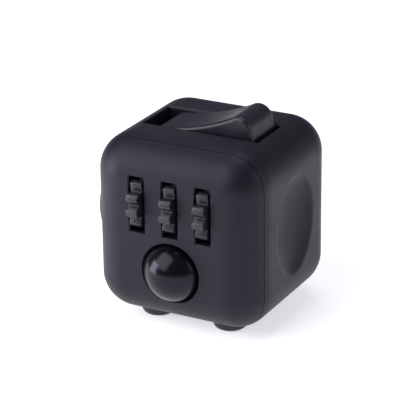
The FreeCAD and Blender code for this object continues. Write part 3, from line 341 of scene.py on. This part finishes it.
def piece(form, name, body, material, replaced):
    """Turn a finished bmesh into a smooth-shaded piece on its body, standing for one CAD node."""
    bmesh.ops.recalc_face_normals(form, faces=form.faces)
    mesh = bpy.data.meshes.new(name)
    form.to_mesh(mesh)
    form.free()
    thing = bpy.data.objects.new(name, mesh)
    bpy.context.scene.collection.objects.link(thing)
    mesh.materials.append(material)
    for face in mesh.polygons:
        face.use_smooth = True
    mesh.set_sharp_from_angle(angle=math.radians(32))
    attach(thing, body)
    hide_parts(replaced)


def rounded(corners, closed=False, steps=5):
    """Points along a line of (x, y, radius) corners, each corner rounded by its radius."""
    points = []
    count = len(corners)
    for i, (x, y, radius) in enumerate(corners):
        here = Vector((x, y))
        ends = (i == 0 or i == count - 1) and not closed
        if ends or radius <= 0:
            points.append(here)
            continue
        before = Vector(corners[i - 1][:2]) - here
        after = Vector(corners[(i + 1) % count][:2]) - here
        half = before.angle(after) / 2
        reach = min(radius / math.tan(half), before.length * 0.499, after.length * 0.499)
        true = reach * math.tan(half)
        centre = here + (before.normalized() + after.normalized()).normalized() * (true / math.sin(half))
        start = here + before.normalized() * reach - centre
        stop = here + after.normalized() * reach - centre
        turn = start.angle(stop)
        for step in range(steps + 1):
            t = step / steps
            swung = start * math.sin((1 - t) * turn) + stop * math.sin(t * turn)
            points.append(centre + swung / math.sin(turn))
    return points


def lathe(profile, segments, place):
    """A closed form turned about Z from a (radius, height) line that starts and ends on the axis."""
    form = bmesh.new()
    rows = []
    for radius, height in profile:
        if radius < 1e-7:
            rows.append([form.verts.new((0, 0, height))])
        else:
            rows.append([form.verts.new((radius * math.cos(2 * math.pi * k / segments),
                                         radius * math.sin(2 * math.pi * k / segments), height))
                         for k in range(segments)])
    for low, high in zip(rows, rows[1:]):
        for k in range(segments):
            a, b = low[k % len(low)], low[(k + 1) % len(low)]
            c, d = high[(k + 1) % len(high)], high[k % len(high)]
            corners = list(dict.fromkeys((a, b, c, d)))
            if len(corners) > 2:
                form.faces.new(corners)
    form.transform(place)
    return form


TO_BACK = Matrix.Rotation(math.radians(-90), 4, "X")


# ------------------------------------------------------------------ one operator for each piece
class FIDGET_OT_shell(bpy.types.Operator):
    """Coat the front cover and the housing"""
    bl_idname = "fidget.shell"
    bl_label = "Shell"

    def execute(self, context):
        coat = soft_touch_coated_abs(context.scene.fidget_shell)
        finish_nodes(coat, "front_cover", "housing")
        return {"FINISHED"}


class FIDGET_OT_gears(bpy.types.Operator):
    """Cut the three gears with rounded teeth"""
    bl_idname = "fidget.gears"
    bl_label = "Gears"

    def execute(self, context):
        sizes = context.scene.fidget_gears
        width = GEAR[1].x - GEAR[0].x
        tip = sizes.tip
        root = tip - sizes.depth
        acetal = moulded_acetal("moulded_acetal_grey", sizes.colour, 0.3)
        pitch = 2 * math.pi / sizes.teeth
        corners = []
        for tooth in range(sizes.teeth):
            middle_angle = tooth * pitch + math.pi / 2
            base, crest, soft = root * sizes.fill, tip * sizes.crest, 0.22 * MM
            line = [(root, -base, 0.25 * MM), (tip - soft, -crest, 0.2 * MM), (tip, soft - crest, 0.2 * MM),
                    (tip, crest - soft, 0.2 * MM), (tip - soft, crest, 0.2 * MM), (root, base, 0.25 * MM)]
            for out, side, radius in line:
                corners.append((out * math.cos(middle_angle) - side * math.sin(middle_angle),
                                out * math.sin(middle_angle) + side * math.cos(middle_angle), radius))
            valley = middle_angle + pitch / 2
            corners.append((root * math.cos(valley), root * math.sin(valley), 0.4 * MM))
        ring = rounded(corners, closed=True, steps=3)
        count = len(ring)
        normals = []
        for k in range(count):
            along = (ring[(k + 1) % count] - ring[k - 1]).normalized()
            normals.append(Vector((along.y, -along.x)))
        # each side of the wheel steps in over a few rings, so its edges are rounded all the way round
        steps = 3
        levels = []
        for k in range(steps + 1):
            turn = k / steps * math.pi / 2
            levels.append((-width / 2 + sizes.edge * (1 - math.sin(turn)),
                           sizes.edge * (1 - math.cos(turn))))
        levels = levels[::-1] + [(-height, inset) for height, inset in levels]
        bearing = [point.normalized() * sizes.bore for point in ring]
        for name in ("gear_left", "gear_middle", "gear_right"):
            form = bmesh.new()
            loops = [[form.verts.new((p.x - n.x * inset, p.y - n.y * inset, height))
                      for p, n in zip(ring, normals)]
                     for height, inset in levels]
            loops += [[form.verts.new((p.x, p.y, height)) for p in bearing]
                      for height in (width / 2, -width / 2)]
            for one, two in zip(loops, loops[1:] + loops[:1]):
                for k in range(count):
                    form.faces.new((one[k], one[(k + 1) % count], two[(k + 1) % count], two[k]))
            form.transform(Matrix.Translation(middle(name)) @ Matrix.Rotation(sizes.phase, 4, "X")
                           @ Matrix.Rotation(math.radians(90), 4, "Y"))
            piece(form, name.replace("gear_", "gear_wheel_"), name, acetal, name)
        return {"FINISHED"}


class FIDGET_OT_ball(bpy.types.Operator):
    """Form the rolling ball with its polished-down parting line"""
    bl_idname = "fidget.ball"
    bl_label = "Ball"

    def execute(self, context):
        sizes = context.scene.fidget_ball
        centre = middle("ball")
        radius = (BALL[1].x - BALL[0].x) / 2
        form = bmesh.new()
        bmesh.ops.create_cube(form, size=2)
        bmesh.ops.subdivide_edges(form, edges=form.edges, cuts=40, use_grid_fill=True)
        for vert in form.verts:
            x, y, z = vert.co
            # even spacing of the cube's grid over the sphere
            vert.co = Vector((x * math.sqrt(1 - y * y / 2 - z * z / 2 + y * y * z * z / 3),
                              y * math.sqrt(1 - z * z / 2 - x * x / 2 + z * z * x * x / 3),
                              z * math.sqrt(1 - x * x / 2 - y * y / 2 + x * x * y * y / 3))).normalized()
            line = math.exp(-(vert.co.x * radius / sizes.line) ** 2)
            vert.co *= radius - sizes.witness * (1 - line)
        form.transform(Matrix.Translation(centre))
        gloss = polished_abs("mirror_polished_abs", sizes.colour)
        piece(form, "rolling_ball", "ball", gloss, "ball")
        return {"FINISHED"}


class FIDGET_OT_rocker(bpy.types.Operator):
    """Finish the rocker in the pocket of the top face"""
    bl_idname = "fidget.rocker"
    bl_label = "Rocker"

    def execute(self, context):
        satin = spark_textured_abs("spark_textured_abs_rocker", "#0D0D1C", roughness=0.36)
        finish_nodes(satin, "rocker")
        return {"FINISHED"}


class FIDGET_OT_buttons(bpy.types.Operator):
    """Finish the five click buttons that the cube stands on"""
    bl_idname = "fidget.buttons"
    bl_label = "Click buttons"

    def execute(self, context):
        satin = spark_textured_abs("spark_textured_abs_button", "#070710", roughness=0.38)
        finish_nodes(satin, *[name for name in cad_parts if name.startswith("button_")
                              and "plate" not in name])
        return {"FINISHED"}


class FIDGET_OT_dial(bpy.types.Operator):
    """Finish the dial with its sunk face and finger dimple"""
    bl_idname = "fidget.dial"
    bl_label = "Dial"

    def execute(self, context):
        satin = spark_textured_abs("spark_textured_abs_dial", "#090916", roughness=0.36)
        finish_nodes(satin, "dial")
        return {"FINISHED"}


class FIDGET_OT_glide_stick(bpy.types.Operator):
    """Form the glide stick's rubber cap with its grip rings"""
    bl_idname = "fidget.glide_stick"
    bl_label = "Glide stick"

    def execute(self, context):
        sizes = context.scene.fidget_stick
        rubber = moulded_silicone("moulded_silicone_cap", "#101015")
        low, high = CAP
        outside = (high.x - low.x) / 2
        tall = high.y - low.y
        # the underside is hollowed for the stick's head, up to the seat that it is glued to
        head, seat = 5.02 * MM, 0.82 * MM
        bowl = tall - sizes.hollow
        slope, corner = 0.9 * MM, 0.1 * MM
        flat = outside - sizes.lip
        rim = rounded([(0, seat, 0), (head, seat, 0), (head, 0, 0), (outside, 0, 0.15 * MM),
                       (outside, tall, 0.5 * MM), (outside - slope, tall, 0.4 * MM), (flat, bowl, 0.3 * MM),
                       (flat - corner, bowl, 0)])
        # the grip rings fade out at the very middle, which stays smooth
        steps, smooth = 60, 0.5 * MM
        rings = []
        for step in range(steps + 1):
            radius = (flat - corner) * (1 - step / steps)
            wave = 0.5 - 0.5 * math.cos(2 * math.pi * sizes.rings * step / steps)
            rings.append((radius, bowl + sizes.ring_height * wave ** 2 * min(1, radius / smooth)))
        place = Matrix.Translation((0, low.y, middle("joystick_cap").z)) @ TO_BACK
        form = lathe([tuple(point) for point in rim[:-1]] + rings, 96, place)
        piece(form, "glide_stick_cap", "joystick", rubber, "joystick_cap")
        finish_nodes(moulded_acetal("moulded_acetal_black", "#17171A"), "joystick", "gimbal_ring")
        return {"FINISHED"}


class FIDGET_OT_workings(bpy.types.Operator):
    """Finish the workings inside: carriers, springs, domes, axle, pins and screws"""
    bl_idname = "fidget.workings"
    bl_label = "Workings"

    def execute(self, context):
        black = moulded_acetal("moulded_acetal_carrier", "#0E0E10", roughness=0.45)
        finish_nodes(black, "gear_bracket", "ball_cup", "ball_retainer", "rocker_plunger", "rocker_tray",
                     "button_plate", "joystick_frame", "dial_index_wheel", "gear_spacers")
        wire = drawn_spring_steel("drawn_spring_steel")
        finish_nodes(wire, "gear_detent_spring", "ball_spring", "rocker_spring", "dial_detent_spring",
                     "joystick_spring", "ball_snap_dome")
        domes = moulded_silicone("moulded_silicone_dome", "#5A5A60")
        finish_nodes(domes, *[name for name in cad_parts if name.startswith("dome_")])
        steel = turned_zinc_plated_steel("turned_zinc_plated_steel")
        finish_nodes(steel, "gear_axle", "rocker_pins", "dial_washer", "dial_screw",
                     *[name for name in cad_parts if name.endswith("_screws")])
        return {"FINISHED"}


class FIDGET_OT_stage(bpy.types.Operator):
    """Set the paper floor, the soft lights and the camera"""
    bl_idname = "fidget.stage"
    bl_label = "Stage"

    def execute(self, context):
        sizes = context.scene.fidget_stage
        # a flat sheet of paper, far larger than the cube, and a hair below the buttons' ends, so that the two
        # don't flicker through each other
        half, below = 1.6, -0.02 * MM
        form = bmesh.new()
        grid = [form.verts.new((x * half, y * half, below)) for y in (-1, 1) for x in (-1, 1)]
        form.faces.new((grid[0], grid[1], grid[3], grid[2]))
        mesh = bpy.data.meshes.new("paper_floor")
        form.to_mesh(mesh)
        form.free()
        floor = bpy.data.objects.new("paper_floor", mesh)
        context.scene.collection.objects.link(floor)
        paper, tree, bsdf, where = new_material("matt_white_paper", ior=1.5, roughness=0.9)
        bsdf.inputs["Emission Color"].default_value = linear(sizes.floor)
        bsdf.inputs["Emission Strength"].default_value = sizes.glow
        tree.links.new(tone(tree, where, sizes.floor, 0.25, 0.01), bsdf.inputs["Base Color"])
        # the sheet shows only its upper side, so that it never hides the cube's underside
        under = add(tree, "NewGeometry").outputs["Backfacing"]
        clear = add(tree, "BsdfTransparent").outputs[0]
        seen = add(tree, "MixShader", fac=under, in1=bsdf.outputs[0], in2=clear).outputs[0]
        tree.links.new(seen, tree.get_output_node("ALL").inputs[0])
        mesh.materials.append(paper)

        world = bpy.data.worlds.new("dim_room")
        context.scene.world = world
        world.use_nodes = True
        room = world.node_tree.nodes["Background"]
        room.inputs["Color"].default_value = linear("#ECEDFF")
        room.inputs["Strength"].default_value = sizes.room

        # each light's place from the cube's middle and its size in metres, its power and its colour
        for name, at, size, power, colour in (
                ("key_softbox", (-0.11, -0.165, 0.175), 0.26, sizes.key * 1.6, "#FFFFFF"),
                ("left_card", (-0.17, -0.11, 0.03), 0.10, sizes.key * 0.6, "#F0F2FF"),
                ("right_card", (0.28, 0.06, 0.12), 0.18, sizes.key * 0.42, "#F2F4FF"),
                ("top_fill", (-0.02, 0.10, 0.40), 0.25, sizes.key * 1.3, "#F2F4FF")):
            light = bpy.data.lights.new(name, "AREA")
            light.energy = power
            light.size = size
            light.color = linear(colour)[:3]
            lamp = bpy.data.objects.new(name, light)
            lamp.location = Vector(at) + CUBE
            lamp.rotation_euler = (CUBE - lamp.location).to_track_quat("-Z", "Y").to_euler()
            context.scene.collection.objects.link(lamp)

        camera = bpy.data.cameras.new("camera")
        camera.lens = sizes.lens
        camera.sensor_width = 36
        camera.clip_start = 0.01
        eye = bpy.data.objects.new("camera", camera)
        az, el = sizes.azimuth, sizes.elevation
        back = Vector((math.sin(az) * math.cos(el), -math.cos(az) * math.cos(el), math.sin(el)))
        right = Vector((math.cos(az), math.sin(az), 0))
        up = back.cross(right)
        right, up = (right * math.cos(sizes.roll) + up * math.sin(sizes.roll),
                     up * math.cos(sizes.roll) - right * math.sin(sizes.roll))
        # the view's middle is a little beside and above the cube's
        beside, above = -0.86 * MM, 0.07 * MM
        at = CUBE + back * sizes.distance + right * beside + up * above
        turn = Matrix((right, up, back)).transposed().to_4x4()
        eye.matrix_world = Matrix.Translation(at) @ turn
        context.scene.collection.objects.link(eye)
        context.scene.camera = eye
        context.scene.view_settings.view_transform = "Standard"
        return {"FINISHED"}


class FIDGET_PT_panel(bpy.types.Panel):
    bl_idname = "FIDGET_PT_panel"
    bl_label = "Fidget Cube"
    bl_space_type = "VIEW_3D"
    bl_region_type = "UI"
    bl_category = "Fidget Cube"

    def draw(self, context):
        for operator in OPERATORS:
            self.layout.operator(operator.bl_idname)
        for name, group in GROUPS.items():
            box = self.layout.box()
            for prop in group.__annotations__:
                box.prop(getattr(context.scene, name), prop)


GROUPS = {
    "fidget_shell": ShellFinish, "fidget_gears": GearSizes, "fidget_ball": BallSizes,
    "fidget_stick": StickSizes, "fidget_stage": StageSettings,
}
OPERATORS = (
    FIDGET_OT_shell, FIDGET_OT_gears, FIDGET_OT_ball, FIDGET_OT_rocker, FIDGET_OT_buttons, FIDGET_OT_dial,
    FIDGET_OT_glide_stick, FIDGET_OT_workings, FIDGET_OT_stage,
)


def register():
    for kind in (*GROUPS.values(), *OPERATORS, FIDGET_PT_panel):
        bpy.utils.register_class(kind)
    for name, group in GROUPS.items():
        setattr(bpy.types.Scene, name, PointerProperty(type=group))


def unregister():
    for name in GROUPS:
        delattr(bpy.types.Scene, name)
    for kind in reversed((*GROUPS.values(), *OPERATORS, FIDGET_PT_panel)):
        bpy.utils.unregister_class(kind)


def main():
    register()
    bpy.ops.fidget.shell()
    bpy.ops.fidget.gears()
    bpy.ops.fidget.ball()
    bpy.ops.fidget.rocker()
    bpy.ops.fidget.buttons()
    bpy.ops.fidget.dial()
    bpy.ops.fidget.glide_stick()
    bpy.ops.fidget.workings()
    bpy.ops.fidget.stage()


if __name__ == "__main__":
    main()
